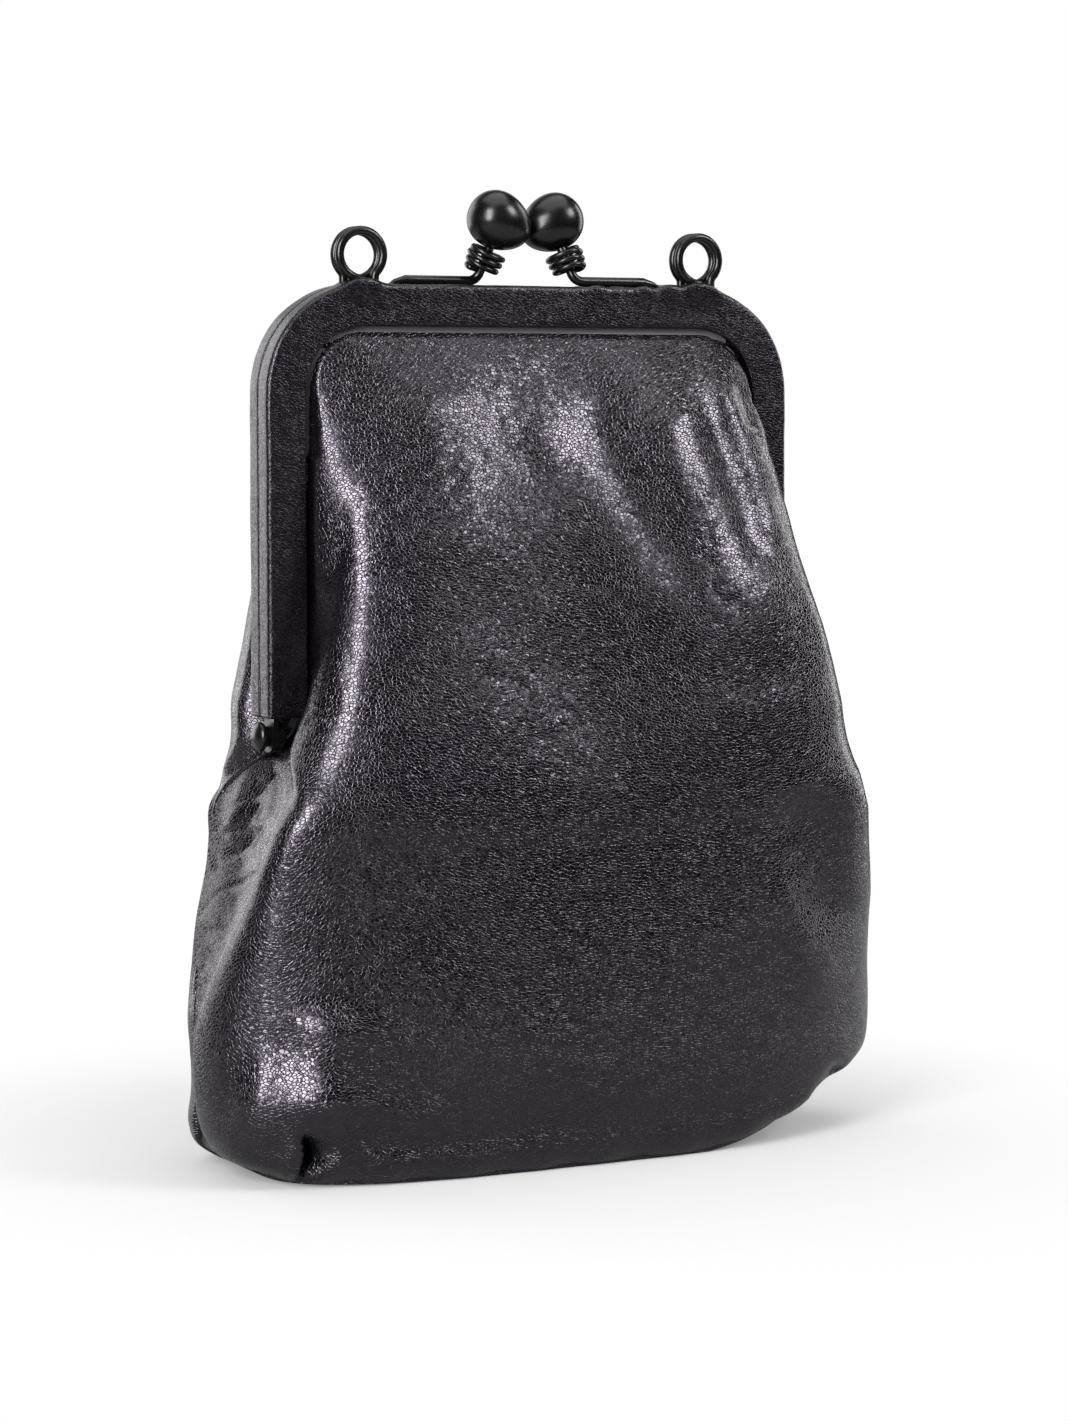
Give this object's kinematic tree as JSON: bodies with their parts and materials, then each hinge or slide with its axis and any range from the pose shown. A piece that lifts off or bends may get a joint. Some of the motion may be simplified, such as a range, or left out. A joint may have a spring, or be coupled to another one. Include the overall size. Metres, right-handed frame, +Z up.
{
  "type": "kiss lock frame purse",
  "caption": "Small leather frame purse with a puffed gusseted bag, a leather covered hinged metal frame, a ball kiss lock clasp and coiled strap rings on the rail.",
  "frame": {"origin": "middle of the bag's base, on the ground it stands on", "axes": "+Z up, +X to the right of someone facing the side with the strap rings, +Y to the back"},
  "size_m": [0.1472, 0.0634, 0.19],
  "materials": {
    "bag_leather": "pebbled, soft satin",
    "frame_leather": "fine grained, satin",
    "lining_cloth": "plain woven, matt",
    "stiff_board": "raw fibre board",
    "black_metal": "gloss black plating",
    "channel_steel": "plain rolled",
    "paper_cord": "twisted paper"
  },
  "bodies": {
    "bag": {"base_panel": "bag_leather", "base_board": "stiff_board", "front_panel": "bag_leather", "rear_panel": "bag_leather", "left_gusset": "bag_leather", "right_gusset": "bag_leather", "lining": "lining_cloth", "left_hinge_rivet": "black_metal", "right_hinge_rivet": "black_metal"},
    "front_half": {"front_channel": "channel_steel", "front_channel_cord": "paper_cord", "front_frame_cover": "frame_leather", "front_panel_top": "bag_leather", "front_lining_top": "lining_cloth", "front_hinge_lugs": "black_metal", "left_strap_ring": "black_metal", "right_strap_ring": "black_metal", "front_clasp_arm": "black_metal", "front_clasp_ball": "black_metal", "front_clasp_collar": "black_metal"},
    "rear_half": {"rear_channel": "channel_steel", "rear_channel_cord": "paper_cord", "rear_frame_cover": "frame_leather", "rear_panel_top": "bag_leather", "rear_lining_top": "lining_cloth", "rear_hinge_lugs": "black_metal", "rear_clasp_arm": "black_metal", "rear_clasp_ball": "black_metal", "rear_clasp_collar": "black_metal"}
  },
  "joints": [
    {"name": "front_swing", "type": "hinge", "parent": "bag", "child": "front_half", "pos_m": [0, 0, 0.0843], "axis": [1, 0, 0], "range_deg": [0, 35]},
    {"name": "rear_swing", "type": "hinge", "parent": "bag", "child": "rear_half", "pos_m": [0, 0, 0.0843], "axis": [-1, 0, 0], "range_deg": [0, 35]}
  ],
  "couplings": [
    {"joint": "rear_swing", "follows": "front_swing", "ratio": 1}
  ]
}
